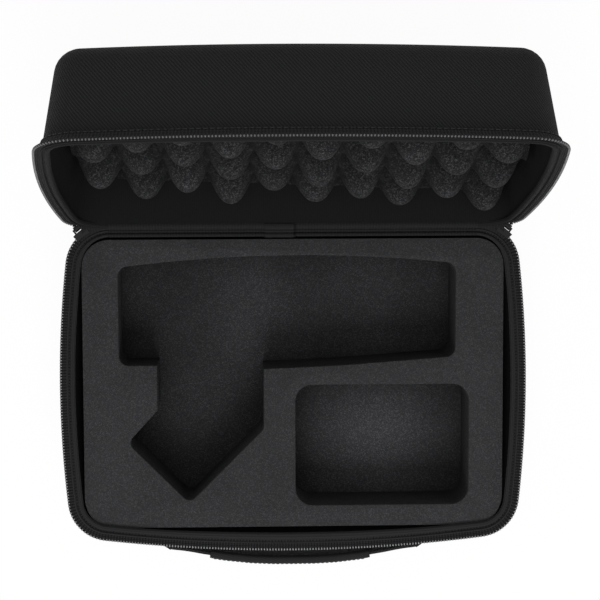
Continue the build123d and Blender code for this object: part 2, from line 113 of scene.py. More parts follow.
def arcs_length(arcs):
    return sum(radius * radians(end - start) for _, _, radius, start, end in arcs)


HALF_LENGTH = arcs_length(ARCS) + BACK_X


def on_rim(s, out):
    """Point and outward direction at a length s round the rim from the middle of the front."""
    s = (s + HALF_LENGTH) % (2 * HALF_LENGTH) - HALF_LENGTH
    side = 1.0 if s >= 0 else -1.0
    left = abs(s)
    for cx, cy, radius, start, end in ARCS:
        length = radius * radians(end - start)
        if left <= length:
            turn = radians(start) + left / radius
            nx, ny = cos(turn), sin(turn)
            return side * (cx + (radius + out) * nx), cy + (radius + out) * ny, side * nx, ny
        left -= length
    return side * (BACK_X - left), DEPTH / 2 + out, 0.0, 1.0


def corner_length(turn):
    """Length round the rim from the middle of the front to a turn on the back corner."""
    return arcs_length(ARCS[:3]) + BACK_CORNER * radians(turn - BACK_TURN)


def inset(depth, skin):
    """How far inside the rim a moulded face lies at a depth, with its skin taken square to it."""
    return skin / cos(LEAN) + depth * tan(LEAN)


def wall_profile(skin):
    """Profile of a moulded face from under the binding to the flat panel, as (out, height)."""
    straights, bends = 5, 7
    flat = inset(HEIGHT - CROWN, CROWN)
    radius = CROWN - skin
    low = HEIGHT - CROWN + radius * sin(LEAN)
    points = []
    for step in range(straights):
        depth = CLOTH_TOP + (low - CLOTH_TOP) * step / straights
        points.append((-inset(depth, skin), -depth))
    for step in range(bends + 1):
        turn = LEAN + (pi / 2 - LEAN) * step / bends
        points.append((-flat + radius * cos(turn), -(HEIGHT - CROWN) - radius * sin(turn)))
    return points


def clamped(value):
    return min(max(value, 0.0), 1.0)


# ---- placing ----
def base_place():
    return Matrix.Translation((0, 0, HEIGHT * MM))


def lid_place():
    hinge = Vector((0, HINGE_Y * MM, HINGE_Z * MM))
    shut = Matrix.Translation((0, 0, (HEIGHT + SHUT_GAP) * MM)) @ Matrix.Rotation(pi, 4, "Y")
    swing = Matrix.Rotation(-radians(OPEN_TURN), 4, "X")
    return Matrix.Translation(hinge) @ swing @ Matrix.Translation(-hinge) @ shut


PLACE = {"base": base_place(), "lid": lid_place()}


# ---- modelling by hand ----
def put_down():
    """Leave edit mode and deselect everything."""
    if bpy.context.mode != "OBJECT":
        bpy.ops.object.mode_set(mode="OBJECT")
    bpy.ops.object.select_all(action="DESELECT")


def take(piece):
    put_down()
    piece.select_set(True)
    bpy.context.view_layer.objects.active = piece
    return piece


def started(name):
    """Name the object that an operator has just made."""
    piece = bpy.context.object
    piece.name = name
    piece.data.name = name
    return piece


def placed(piece, place):
    """Put the finished mesh where it belongs and leave the object at the origin."""
    piece.data.transform(place @ piece.matrix_world)
    piece.matrix_world = Matrix.Identity(4)
    return piece


def smooth(piece, angle=40):
    take(piece)
    bpy.ops.object.shade_smooth_by_angle(angle=radians(angle))
    return piece


def outward(piece):
    take(piece)
    bpy.ops.object.mode_set(mode="EDIT")
    bpy.ops.mesh.select_all(action="SELECT")
    bpy.ops.mesh.normals_make_consistent(inside=False)
    put_down()
    return piece


def modified(piece, kind, **settings):
    """Add a modifier and apply it."""
    take(piece)
    modifier = piece.modifiers.new(kind.title(), kind)
    for key, value in settings.items():
        setattr(modifier, key, value)
    bpy.ops.object.modifier_apply(modifier=modifier.name)
    return piece


def bevelled(piece, width, angle):
    """Round off the edges that are sharper than an angle."""
    return modified(piece, "BEVEL", width=width, segments=2, limit_method="ANGLE",
                    angle_limit=radians(angle))


def lay_lengths(piece, lengths, stations, round_trip):
    """UV map in metres: U round the ring, V from ring to ring; round_trip is the whole way."""
    mesh = piece.data
    along = [a.value for a in mesh.attributes["rim"].data]
    across = [a.value for a in mesh.attributes["station"].data]
    layer = mesh.uv_layers.new(name="length")
    last = max(along)
    for face in mesh.polygons:
        marks = [along[v] for v in face.vertices]
        wraps = round_trip and max(marks) - min(marks) > last / 2
        for loop in face.loop_indices:
            vertex = mesh.loops[loop].vertex_index
            mark = along[vertex]
            u = lengths[mark]
            if wraps and mark < last / 2:
                u += round_trip
            layer.data[loop].uv = (u * MM, stations[across[vertex]] * MM)


def path_lengths(points):
    """Length from the first point to each one, by the first two numbers of each."""
    lengths = [0.0]
    for before, after in zip(points, points[1:]):
        lengths.append(lengths[-1] + hypot(after[0] - before[0], after[1] - before[1]))
    return lengths


def numbered_ring(name, count):
    """A ring of vertices, left in edit mode; each knows its number in the ring and its station."""
    put_down()
    bpy.ops.mesh.primitive_circle_add(vertices=count, radius=0.1)
    piece = started(name)
    for key, numbers in (("rim", list(range(count))), ("station", [0] * count)):
        piece.data.attributes.new(key, "INT", "POINT").data.foreach_set("value", numbers)
    bpy.ops.object.mode_set(mode="EDIT")
    return piece


def carry_ring(piece, stations, spot):
    """In edit mode, extrude the ring from station to station; spot(station, number) is in mm."""
    for number in range(stations):
        if number:
            bpy.ops.mesh.extrude_region_move()
        shape = bmesh.from_edit_mesh(piece.data)
        order, station = shape.verts.layers.int["rim"], shape.verts.layers.int["station"]
        for vertex in shape.verts:
            if vertex.select:
                vertex.co = Vector(spot(number, vertex[order])) * MM
                vertex[station] = number
        bmesh.update_edit_mesh(piece.data)


def pick_rings(piece, *numbers):
    """In edit mode, select the edges that run round the rim at these stations, and nothing else."""
    bpy.ops.mesh.select_mode(type="EDGE")
    bpy.ops.mesh.select_all(action="DESELECT")
    shape = bmesh.from_edit_mesh(piece.data)
    layer = shape.verts.layers.int["station"]
    for edge in shape.edges:
        first, second = (vertex[layer] for vertex in edge.verts)
        if first == second and first in numbers:
            edge.select = True
    bmesh.update_edit_mesh(piece.data)


def rim_piece(name, profile, spacing=2.5, span=None, closed=False, lift=None):
    """Extrude a ring of the rim, or the part of it in span, through the stations of a profile."""
    if span is None:
        count = round(2 * HALF_LENGTH / spacing)
        lengths = [2 * HALF_LENGTH * k / count for k in range(count)]
    else:
        count = max(2, round((span[1] - span[0]) / spacing)) + 1
        lengths = [span[0] + (span[1] - span[0]) * k / (count - 1) for k in range(count)]
    piece = numbered_ring(name, count)
    if span is not None:
        shape = bmesh.from_edit_mesh(piece.data)
        order = shape.verts.layers.int["rim"]
        for edge in [e for e in shape.edges if {v[order] for v in e.verts} == {0, count - 1}]:
            shape.edges.remove(edge)
        bmesh.update_edit_mesh(piece.data)

    def spot(number, k):
        out, height = profile[number]
        more_out, rise = lift(lengths[k], number) if lift else (0.0, 0.0)
        x, y, _, _ = on_rim(lengths[k], out + more_out)
        return x, y, height + rise

    carry_ring(piece, len(profile), spot)
    if closed:
        pick_rings(piece, 0, len(profile) - 1)
        bpy.ops.mesh.bridge_edge_loops()
        bpy.ops.mesh.select_mode(type="VERT")
    put_down()
    lay_lengths(piece, lengths, path_lengths(profile), 2 * HALF_LENGTH if span is None else 0.0)
    return piece


def close_panel(piece, station, rings=(0.97, 0.8, 0.55, 0.3, 0.1), axes=(0, 1)):
    """Close a ring with a flat panel of narrowing rings that end in one point."""
    take(piece)
    bpy.ops.object.mode_set(mode="EDIT")
    pick_rings(piece, station)
    shape = bmesh.from_edit_mesh(piece.data)
    spots = [vertex.co for vertex in shape.verts if vertex.select]
    corners = [Vector(pick(spot[k] for spot in spots) for k in range(3)) for pick in (min, max)]
    middle = (corners[0] + corners[1]) / 2
    last = 1.0
    for share in rings:
        bpy.ops.mesh.extrude_region_move()
        bpy.ops.transform.resize(value=(share / last,) * 3, center_override=middle)
        last = share
    bpy.ops.mesh.merge(type="CENTER")
    bpy.ops.mesh.select_mode(type="VERT")
    put_down()
    level = piece.data.attributes["station"].data
    layer = piece.data.uv_layers["length"].data
    for face in piece.data.polygons:
        if all(level[v].value == station for v in face.vertices):
            for loop in face.loop_indices:
                point = piece.data.vertices[piece.data.loops[loop].vertex_index].co
                layer[loop].uv = (point[axes[0]], point[axes[1]])
    return piece


def swept(name, section, line):
    """Carry a closed section of (out, up) points along a line of (x, y, nx, ny, up) places."""
    piece = numbered_ring(name, len(section))

    def spot(number, k):
        x, y, nx, ny, up = line[number]
        out, rise = section[k]
        return x + out * nx, y + out * ny, up + rise

    carry_ring(piece, len(line), spot)
    put_down()
    around = path_lengths(section + section[:1])
    lay_lengths(piece, around[:-1], path_lengths(line), around[-1])
    for station in (0, len(line) - 1):
        close_panel(piece, station, (0.6,), axes=(1, 2))
    return outward(piece)


def repeated(name, single, turns):
    """One object from a small piece copied to each place; the small piece is used up."""
    shape = bmesh.new()
    for turn in turns:
        before = len(shape.verts)
        shape.from_mesh(single.data)
        shape.verts.ensure_lookup_table()
        bmesh.ops.transform(shape, matrix=turn, verts=shape.verts[before:])
    mesh = bpy.data.meshes.new(name)
    shape.to_mesh(mesh)
    shape.free()
    put_down()
    single.data = mesh
    single.name = name
    return single


def stitches(name, lines, pitch, thick):
    """Thread along lines of points, in millimetres, as a row of short raised stitches."""
    half_stitch = pitch * 0.36 * MM
    turns = []
    for line in lines:
        left = 0.0
        for before, after in zip(line, line[1:]):
            before, after = Vector(before), Vector(after)
            span = (after - before).length
            way = (after - before) / span
            while left < span:
                turn = way.to_track_quat("X", "Z").to_matrix().to_4x4()
                size = Matrix.Diagonal((half_stitch, thick * MM, thick * MM, 1.0))
                turns.append(Matrix.Translation((before + way * left) * MM) @ turn @ size)
                left += pitch
            left -= span
    put_down()
    bpy.ops.mesh.primitive_uv_sphere_add(segments=6, ring_count=4, radius=1.0)
    single = started("stitch")
    bpy.ops.object.mode_set(mode="EDIT")
    bpy.ops.mesh.select_all(action="SELECT")
    bpy.ops.transform.rotate(value=pi / 2, orient_axis="Y", center_override=(0, 0, 0))
    put_down()
    return smooth(repeated(name, single, turns), 60)


# ---- finishes ----
def new_finish(name):
    finish = bpy.data.materials.new(name)
    finish.use_nodes = True
    tree = finish.node_tree
    shader = tree.nodes["Principled BSDF"]
    return finish, tree, shader


def node(tree, kind, **values):
    made = tree.nodes.new(kind)
    for key, value in values.items():
        if key in made.inputs:
            made.inputs[key].default_value = value
        else:
            setattr(made, key, value)
    return made


def wired(tree, inputs, values):
    """Give each input its value in turn: a socket is linked, anything else is set."""
    for slot, value in zip(inputs, values):
        if isinstance(value, bpy.types.NodeSocket):
            tree.links.new(value, slot)
        else:
            slot.default_value = value


def maths(tree, operation, *values):
    made = node(tree, "ShaderNodeMath", operation=operation)
    wired(tree, made.inputs, values)
    return made.outputs["Value"]


def ranged(tree, source, reach, result, kind="LINEAR"):
    """Map a socket from one range, as (low, high), to another."""
    made = node(tree, "ShaderNodeMapRange", interpolation_type=kind)
    wired(tree, made.inputs, (source, *reach, *result))
    return made.outputs["Result"]


def ramp(tree, source, low, high, start, end):
    """Colour ramp from low, at start, to high, at end."""
    made = tree.nodes.new("ShaderNodeValToRGB")
    made.color_ramp.elements[0].position = start
    made.color_ramp.elements[0].color = (*low, 1)
    made.color_ramp.elements[1].position = end
    made.color_ramp.elements[1].color = (*high, 1)
    tree.links.new(source, made.inputs["Fac"])
    return made


def shade(colour, factor):
    return tuple(c * factor for c in colour)


def matt(shader, rough, specular):
    shader.inputs["Roughness"].default_value = rough
    shader.inputs["Specular IOR Level"].default_value = specular


def bumped(tree, shader, height, strength, distance):
    bump = node(tree, "ShaderNodeBump", Strength=strength, Distance=distance)
    tree.links.new(height, bump.inputs["Height"])
    tree.links.new(bump.outputs["Normal"], shader.inputs["Normal"])


def foam_finish(name, colour, cell, speck_and_glint, strength, cloud, lit_spots=(), painted_shade_attribute=None):
    """Cut foam: cells of straying tone and painted glints, a soft mottle, painted light and shade.

    cell is the size of a cell in mm and speck_and_glint how far its tone strays, its light cells
    as painted glints; cloud is the mottle; lit_spots lists (spot, reach, gain) in mm of painted
    pools of light; painted_shade_attribute names the attribute that paints shade in the hollows.
    """
    finish, tree, shader = new_finish(name)
    place = node(tree, "ShaderNodeTexCoord")
    cells = node(tree, "ShaderNodeTexVoronoi", Scale=1.0 / (cell * MM))
    pores = node(tree, "ShaderNodeTexNoise", Scale=1.0 / (cell * 1.3 * MM), Detail=2.0)
    broad = node(tree, "ShaderNodeTexNoise", Scale=1.0 / (26 * MM), Detail=2.0)
    for texture in (cells, pores, broad):
        tree.links.new(place.outputs["Object"], texture.inputs["Vector"])
    split = tree.nodes.new("ShaderNodeSeparateColor")
    tree.links.new(cells.outputs["Color"], split.inputs["Color"])
    # Painted glints: the cells' tone strays at random, and the light cells reach far above the
    # colour as glints.
    dark, light = shade(colour, 1 - 0.9 * speck_and_glint), shade(colour, 1 + 2.4 * speck_and_glint)
    tone = ramp(tree, split.outputs["Red"], dark, light, 0.0, 1.0)
    middle = tone.color_ramp.elements.new(0.7)
    middle.color = (*shade(colour, 1 + 0.1 * speck_and_glint), 1)
    amount = ranged(tree, broad.outputs["Fac"], (0.3, 0.7), (1 - cloud, 1 + cloud))
    # Painted light: each spot lightens the colour towards its middle.
    for spot, reach, gain in lit_spots:
        far = node(tree, "ShaderNodeVectorMath", operation="DISTANCE")
        wired(tree, far.inputs, (place.outputs["Object"], tuple(c * MM for c in spot)))
        near = ranged(tree, far.outputs["Value"], (0.0, reach * MM), (gain, 0.0), "SMOOTHSTEP")
        amount = maths(tree, "ADD", amount, near)
    # Painted shade: an attribute darkens the hollows between the lobes.
    if painted_shade_attribute:
        deep = node(tree, "ShaderNodeAttribute", attribute_name=painted_shade_attribute)
        amount = maths(tree, "MULTIPLY", amount, deep.outputs["Fac"])
    lit = node(tree, "ShaderNodeVectorMath", operation="SCALE")
    tree.links.new(tone.outputs["Color"], lit.inputs[0])
    tree.links.new(amount, lit.inputs["Scale"])
    tree.links.new(lit.outputs["Vector"], shader.inputs["Base Color"])
    matt(shader, 0.95, 0.12)
    bumped(tree, shader, pores.outputs["Fac"], strength, cell * 0.5 * MM)
    return finish


def cloth_finish(name, colour, rib, turn, sheen, strength, mottle):
    """Ribbed cloth on the piece's length map: ribs, in mm, at a turn, crossed by a finer weft."""
    wave_scale = 0.314  # gives one wave to each unit of length
    finish, tree, shader = new_finish(name)
    place = node(tree, "ShaderNodeUVMap", uv_map="length")
    turned = tree.nodes.new("ShaderNodeMapping")
    turned.inputs["Rotation"].default_value = (0, 0, radians(turn))
    tree.links.new(place.outputs["UV"], turned.inputs["Vector"])
    ribs = node(tree, "ShaderNodeTexWave", Scale=wave_scale / (rib * MM), Distortion=0.6,
                Detail=1.0, bands_direction="X")
    weft = node(tree, "ShaderNodeTexWave", Scale=wave_scale / (rib * 0.6 * MM), Distortion=0.3,
                Detail=0.0, bands_direction="Y")
    grain = node(tree, "ShaderNodeTexNoise", Scale=1.0 / (0.5 * MM), Detail=3.0)
    for texture in (ribs, weft, grain):
        tree.links.new(turned.outputs["Vector"], texture.inputs["Vector"])
    weave = maths(tree, "MULTIPLY_ADD", weft.outputs["Fac"], 0.35, ribs.outputs["Fac"])
    softer = maths(tree, "MULTIPLY", weave, 0.6)
    height = maths(tree, "MULTIPLY_ADD", grain.outputs["Fac"], 0.35, softer)
    tone = ramp(tree, height, shade(colour, 1 - mottle), shade(colour, 1 + mottle), 0.15, 1.0)
    tree.links.new(tone.outputs["Color"], shader.inputs["Base Color"])
    matt(shader, 0.85, 0.15)
    shader.inputs["Sheen Weight"].default_value = sheen
    shader.inputs["Sheen Roughness"].default_value = 0.5
    bumped(tree, shader, height, strength, rib * 0.35 * MM)
    return finish


def smooth_finish(name, colour, rough, specular):
    """Plastic, thread or painted metal with a little orange peel."""
    peel_size, peel_strength = 0.3, 0.1
    finish, tree, shader = new_finish(name)
    place = node(tree, "ShaderNodeTexCoord")
    peel = node(tree, "ShaderNodeTexNoise", Scale=1.0 / (peel_size * MM), Detail=2.0)
    tree.links.new(place.outputs["Object"], peel.inputs["Vector"])
    tone = ramp(tree, peel.outputs["Fac"], shade(colour, 0.8), shade(colour, 1.25), 0.3, 0.7)
    tree.links.new(tone.outputs["Color"], shader.inputs["Base Color"])
    matt(shader, rough, specular)
    bumped(tree, shader, peel.outputs["Fac"], peel_strength, peel_size * 0.2 * MM)
    return finish


COVER = cloth_finish("ribbed_cover_cloth", (0.0094, 0.0094, 0.01), 1.6, 40,
                     sheen=0.02, strength=0.9, mottle=0.95)
LINING = cloth_finish("brushed_lining_cloth", (0.0045, 0.0045, 0.0047), 1.2, 0,
                      sheen=0.0, strength=0.3, mottle=0.35)
BINDING = cloth_finish("binding_tape_cloth", (0.0132, 0.0132, 0.014), 1.3, 90,
                       sheen=0.03, strength=0.35, mottle=0.4)
# Painted shade: a darker copy of the binding tape for the lid, where its rim lies in shade.
SHADED_LID_BINDING = cloth_finish("lid_binding_tape_painted_shade", (0.0056, 0.0056, 0.006), 1.3, 90,
                           sheen=0.01, strength=0.35, mottle=0.4)
HINGE = cloth_finish("hinge_cloth", (0.0088, 0.0088, 0.0094), 1.9, 0,
                     sheen=0.02, strength=0.4, mottle=0.35)
TAPE = cloth_finish("zip_tape_cloth", (0.0095, 0.0095, 0.0102), TOOTH_PITCH, 0,
                    sheen=0.02, strength=0.9, mottle=0.95)
WEBBING = cloth_finish("webbing_weave", (0.0145, 0.0145, 0.0154), 1.6, 45,
                       sheen=0.03, strength=0.7, mottle=0.55)
SLEEVE = cloth_finish("grip_sleeve_cloth", (0.0138, 0.0138, 0.0147), 1.2, 20,
                      sheen=0.03, strength=0.4, mottle=0.4)
LAP = cloth_finish("hinge_lap_cloth", (0.0104, 0.0104, 0.011), 1.2, 0,
                   sheen=0.02, strength=0.4, mottle=0.3)
# Painted shade: a near-black strip at one end of the hinge lap, where the lap's step is shaded.
LAP_EDGE_SHADE = cloth_finish("lap_edge_painted_shade_cloth", (0.0016, 0.0016, 0.0017), 1.2, 0,
                    sheen=0.0, strength=0.4, mottle=0.3)
THREAD = smooth_finish("sewing_thread", (0.022, 0.022, 0.0235), 0.6, 0.3)
# Painted highlight: the coil is black, and its pale grey stands for the glints on its loops; the
# lid's copy is darker, as painted shade.
COIL_HIGHLIGHTS = smooth_finish("coil_painted_highlight", (0.165, 0.165, 0.17), 0.3, 0.5)
SHADED_LID_COIL_HIGHLIGHTS = smooth_finish("lid_coil_painted_highlight_and_shade", (0.085, 0.085, 0.089), 0.3, 0.5)
METAL = smooth_finish("black_painted_metal", (0.005, 0.005, 0.0054), 0.55, 0.15)
INSERT = foam_finish("cut_foam", (0.0292, 0.0292, 0.0309), 0.5, 0.3, 0.5, cloud=0.06)
# Painted light: pools that lighten the middles of the recess floors, away from their walls, as
# (spot, reach, gain) in mm.
PAD_LIT_SPOTS = (
    ((-25, 42, 22), 62, 0.85), ((55, 44, 22), 60, 0.6),
    ((58, -42, 22), 62, 1.65), ((-55, -15, 22), 42, 0.3),
)
PAD = foam_finish("pad_foam", (0.0165, 0.0165, 0.0177), 0.55, 0.36, 0.5, cloud=0.12, lit_spots=PAD_LIT_SPOTS)
# Open-cell foam with painted glints on its cells and painted shade in its hollows.
EGG = foam_finish("open_cell_foam", (0.0198, 0.0198, 0.0209), 0.6, 0.78, 0.8, cloud=0.15,
                  painted_shade_attribute="hollow_shade")


def dressed(piece, finish, slot, body, *stands_for):
    """Give a piece its finish, its body, unless it is blended, and the nodes it stands for."""
    piece.data.materials.clear()
    piece.data.materials.append(finish)
    if body:
        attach(piece, body)
    if stands_for:
        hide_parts(*stands_for)
    return piece


# ---- moulded halves ----
def moulded_cloth(half, kind, skin, thick, grows, finish, slot, stands_for):
    """Sheet on one face of a half; grows is 1 towards the outside and -1 towards the inside."""
    profile = wall_profile(skin)
    piece = rim_piece(f"{half}_{kind}", profile)
    close_panel(piece, len(profile) - 1)
    outward(piece)
    modified(piece, "SOLIDIFY", thickness=thick * MM, offset=grows)
    smooth(placed(piece, PLACE[half]))
    return dressed(piece, finish, slot, half, f"{half}_{stands_for}")


def bead(out, height, wide, tall, steps, first=0):
    """Points over a half-round bead, from its outer foot, or a step past it, to its inner foot."""
    turns = [pi * step / steps for step in range(first, steps + 1)]
    return [(out + wide * cos(turn), height + tall * sin(turn)) for turn in turns]


def rolled_binding(half):
    """Binding rolled over the rim: a narrow bead along the tape, a seam, and a bead inside."""
    front_fade, back_fade = 150.0, 30.0
    wider, slimmer, lowered, raised = 1.7, 1.4, 0.9, 0.15
    seam_out, crest = -0.9, -1.3  # further out lies the narrow bead, and higher up lie the tops
    profile = bead(-0.2, -0.85, 0.6, 0.6, 7) + [(-0.95, -1.9), (-1.75, -1.9)]
    profile += bead(-3.5, -1.5, 1.6, 1.4, 13, first=1) + [(-5.1, -BIND_DEEP), (0.4, -BIND_DEEP)]
    pull = random.Random(7 if half == "base" else 8)
    waves = [(pull.uniform(0.02, 0.06), pull.uniform(0, 2 * pi), k) for k in (3, 7, 12, 19)]

    def lift(s, number):
        """Slow waves; the inner bead is wider at the front and slimmer round the back."""
        out, height = profile[number]
        wave = sum(a * sin(k * pi * s / HALF_LENGTH + p) for a, p, k in waves)
        near = min(s, 2 * HALF_LENGTH - s)
        front = 0.5 + 0.5 * cos(pi * min(near / front_fade, 1.0))
        back = clamped((near - corner_length(20.0)) / back_fade)
        inner = clamped((-1.8 - out) / 3.0)
        rise = (-lowered if out > seam_out else raised) * front if height > crest else 0.0
        return wave + (slimmer * back - wider * front) * inner, rise

    piece = rim_piece(f"{half}_rolled_binding", profile, closed=True, lift=lift)
    outward(piece)
    smooth(placed(piece, PLACE[half]), 60)
    # The lid's binding takes the darker copy, as painted shade.
    finish = BINDING if half == "base" else SHADED_LID_BINDING
    return dressed(piece, finish, "binding_tape", half, f"{half}_binding")


def zip_tape(half, end):
    """Woven tape that stands out from the wall to the coil, with a raised line where it is sewn."""
    bed = CHAIN_MIDDLE - 0.35
    gap, fade, narrow_out = 0.3, 1.4, 1.6
    sewn_edge = [(-1.0, -7.0), (-0.1, -6.9), (0.25, -6.5), (0.25, -5.9), (0.1, -5.5)]
    underside = [(1.0, -4.5), (1.3, -4.4), (1.7, -3.7), (2.0, -3.6), (2.6, -2.6), (3.1, -2.2),
                 (4.0, -2.0), (4.7, -1.7)]
    upper_side = [(4.75, bed), (3.1, bed), (2.8, bed + 0.3), (2.3, bed + 0.3),
                  (2.1, bed - 0.1), (0.3, bed - 0.1)]
    profile = sewn_edge + underside + upper_side

    def lift(s, number):
        """Past the end of its chain the lid's tape draws back to the wall."""
        if half == "base":
            return 0.0, 0.0
        past = clamped((abs(s) - corner_length(LID_CHAIN_TURN) - gap) / fade)
        return -past * max(profile[number][0] - narrow_out, 0.0), 0.0

    piece = rim_piece(f"{half}_woven_tape", profile, span=(-end, end), closed=True, lift=lift)
    outward(piece)
    smooth(placed(piece, PLACE[half]), 30)
    return dressed(piece, TAPE, "zip_tape", half, f"{half}_zip_tape")


def coil_teeth(half, end):
    """One loop of the coil, drawn with 1 for 1 mm, made small and copied round the rim."""
    put_down()
    bpy.ops.mesh.primitive_cylinder_add(vertices=8, radius=TOOTH_RADIUS, depth=TOOTH_LONG,
                                        rotation=(0, pi / 2, 0))
    tooth = started("tooth")
    bpy.ops.object.mode_set(mode="EDIT")
    bpy.ops.mesh.select_all(action="SELECT")
    bpy.ops.transform.resize(value=(1.0, 0.95, 1.2))
    take(tooth)
    bpy.ops.object.transform_apply(location=True, rotation=True, scale=True)
    bevelled(tooth, 0.25, 50)
    count = int(2 * end / TOOTH_PITCH)
    first = -TOOTH_PITCH * (count - 1) / 2
    turns = []
    for k in range(count):
        x, y, nx, ny = on_rim(first + k * TOOTH_PITCH, CHAIN_OUT - 0.8)
        spot = Matrix.Translation(Vector((x, y, CHAIN_MIDDLE)) * MM)
        turns.append(spot @ Matrix.Rotation(atan2(ny, nx), 4, "Z") @ Matrix.Scale(MM, 4))
    tooth = repeated(f"{half}_coil_teeth", tooth, turns)
    smooth(placed(tooth, PLACE[half]), 50)
    # The pale coil colour is painted highlight; the lid's darker copy is painted shade.
    finish = COIL_HIGHLIGHTS if half == "base" else SHADED_LID_COIL_HIGHLIGHTS
    return dressed(tooth, finish, "zip_coil", half, f"{half}_zip_coil")


for half, chain_turn, tape_turn in (("base", BASE_CHAIN_TURN, BASE_CHAIN_TURN),
                                    ("lid", LID_CHAIN_TURN, LID_TAPE_TURN)):
    moulded_cloth(half, "cover", 0.0, SHELL_THICK, -1.0, COVER, "outer_fabric", "shell")
    moulded_cloth(half, "inner_lining", SKIN, LINING_THICK, 1.0, LINING, "lining_fabric", "lining")
    rolled_binding(half)
    zip_tape(half, corner_length(tape_turn))
    coil_teeth(half, corner_length(chain_turn))


# ---- foam ----
def cad_copy(name, source):
    """Loose copy of a node's mesh, merged and with its flat faces whole again."""
    put_down()
    mesh = NODES[source].data.copy()
    piece = bpy.data.objects.new(name, mesh)
    bpy.context.scene.collection.objects.link(piece)
    mesh.name = name
    take(piece)
    bpy.ops.object.mode_set(mode="EDIT")
    bpy.ops.mesh.select_all(action="SELECT")
    bpy.ops.mesh.remove_doubles(threshold=0.002 * MM)
    bpy.ops.mesh.dissolve_limited(angle_limit=radians(1.0))
    put_down()
    return piece


def flat_foam(piece, round_off, angle, finish, slot, stands_for):
    """Round off a piece of flat foam, in mm, and hand it over."""
    bevelled(piece, round_off * MM, angle)
    smooth(piece, 35)
    return dressed(piece, finish, slot, "base", stands_for)


def cut_insert():
    """The insert, with its front edge drawn forward, most of all at the top."""
    fade, reach, upper = 0.014, 0.0022, 0.045  # in metres
    piece = cad_copy("cut_foam_insert", "foam_insert")
    front = min(vertex.co.y for vertex in piece.data.vertices)
    for vertex in piece.data.vertices:
        near = 1.0 - min((vertex.co.y - front) / fade, 1.0)
        vertex.co.y -= reach * near * (1.0 if vertex.co.z > upper else 0.3)
    return flat_foam(piece, 0.7, 40, INSERT, "insert_foam", "foam_insert")


def insert_pad():
    piece = cad_copy("insert_floor_cushion", "insert_floor_pad")
    return flat_foam(piece, 0.5, 30, PAD, "pad_foam", "insert_floor_pad")


def lobe_height(x, y, tips):
    """Height of the convoluted sheet over a plan point: lobes and hollows in a chequer."""
    u, v = x / LOBE_COLUMN, (HINGE_Y - FIRST_LOBE_ROW - y) / LOBE_ROW
    wave = cos(pi * (u + 0.5)) * cos(pi * v)
    wave = 0.55 * wave + 0.45 * sin(pi / 2 * wave)
    near = tips.get((round(u - 0.5), round(v)), 0.0)
    lean = -LOBE_LEAN * x / LOBE_LEAN_SPAN
    return LOBE_MIDDLE + lean + LOBE_REACH * wave + near * max(wave, 0.0)


def lobe_sheet(tips):
    """Thick sheet with the lobes on its upper side, wider than the lid, to cut the block with."""
    wide, deep, thick = 282, 198, 0.09  # the last in metres
    put_down()
    bpy.ops.mesh.primitive_grid_add(x_subdivisions=176, y_subdivisions=124, size=1.0)
    sheet = started("lobes")
    for vertex in sheet.data.vertices:
        x, y = vertex.co.x * wide, vertex.co.y * deep
        vertex.co = Vector((x, y, lobe_height(x, y, tips))) * MM
    bpy.ops.object.mode_set(mode="EDIT")
    bpy.ops.mesh.select_all(action="SELECT")
    bpy.ops.mesh.extrude_region_move(TRANSFORM_OT_translate={"value": (0, 0, -thick)})
    put_down()
    return outward(sheet)


def paint_hollow_shade(piece):
    """Write how near each point is to the tips as painted shade: the hollows darker, the tips
    lighter.
    """
    hollow_shade = piece.data.attributes.new("hollow_shade", "FLOAT", "POINT")
    low, high = LOBE_MIDDLE - LOBE_REACH, LOBE_MIDDLE + LOBE_REACH
    for vertex, mark in zip(piece.data.vertices, hollow_shade.data):
        upright = vertex.co.z / MM + LOBE_LEAN * vertex.co.x / MM / LOBE_LEAN_SPAN
        mark.value = 0.1 + 1.08 * clamped((upright - low) / (high - low)) ** 1.5


def egg_crate():
    """Convoluted foam sheet, cut to the lid's inside."""
    wall_gap, floor_gap = 1.4, 0.4
    edge = inset(SHEET_WALL, SKIN) + wall_gap
    flat = inset(HEIGHT - CROWN, CROWN) + floor_gap
    profile = [(-edge, 0.0), (-edge, -SHEET_WALL), (-flat, -SHEET_FOOT)]
    block = rim_piece("egg_crate_sheet", profile, spacing=3.0)
    for station in (len(profile) - 1, 0):
        close_panel(block, station, (0.5,))
    outward(block)
    spread = random.Random(21)
    tips = {(i, j): spread.uniform(-2.2, 2.2) for i in range(-7, 8) for j in range(-1, 9)}
    sheet = lobe_sheet(tips)
    modified(block, "BOOLEAN", operation="INTERSECT", object=sheet, solver="EXACT")
    bpy.data.objects.remove(sheet)
    paint_hollow_shade(block)
    smooth(placed(block, PLACE["lid"]), 50)
    return dressed(block, EGG, "lid_foam", "lid", "lid_egg_crate_foam")


cut_insert()
insert_pad()
egg_crate()


# ---- handle, sewn ends and stitches ----
def handle_line(start, end, count):
    """Places along the middle of the strap: a long flat bow between two shoulders."""
    shoulder = 78  # from here outwards the bow isn't softened
    # Half of the bow, as (x, y) from the middle outwards.
    marks = [(0.0, -118.0), (14.0, -117.9), (28.0, -117.2), (45.0, -115.3), (60.0, -112.9),
             (69.0, -111.1), (75.0, -110.2), (79.0, -109.8), (STRAP_END_X, STRAP_END_Y)]

    def height(x):
        x = abs(x)
        for (x0, y0), (x1, y1) in zip(marks, marks[1:]):
            if x <= x1:
                return y0 + (y1 - y0) * (x - x0) / (x1 - x0)
        return STRAP_END_Y

    def soft(x):
        if abs(x) < shoulder:
            return sum(height(x + shift) for shift in (-2, -1, 0, 1, 2)) / 5
        return height(x)

    line = []
    for k in range(count + 1):
        x = start + (end - start) * k / count
        slope = soft(x + 0.5) - soft(x - 0.5)
        span = hypot(1.0, slope)
        line.append((x, soft(x), slope / span, -1.0 / span, HANDLE_UP))
    return line


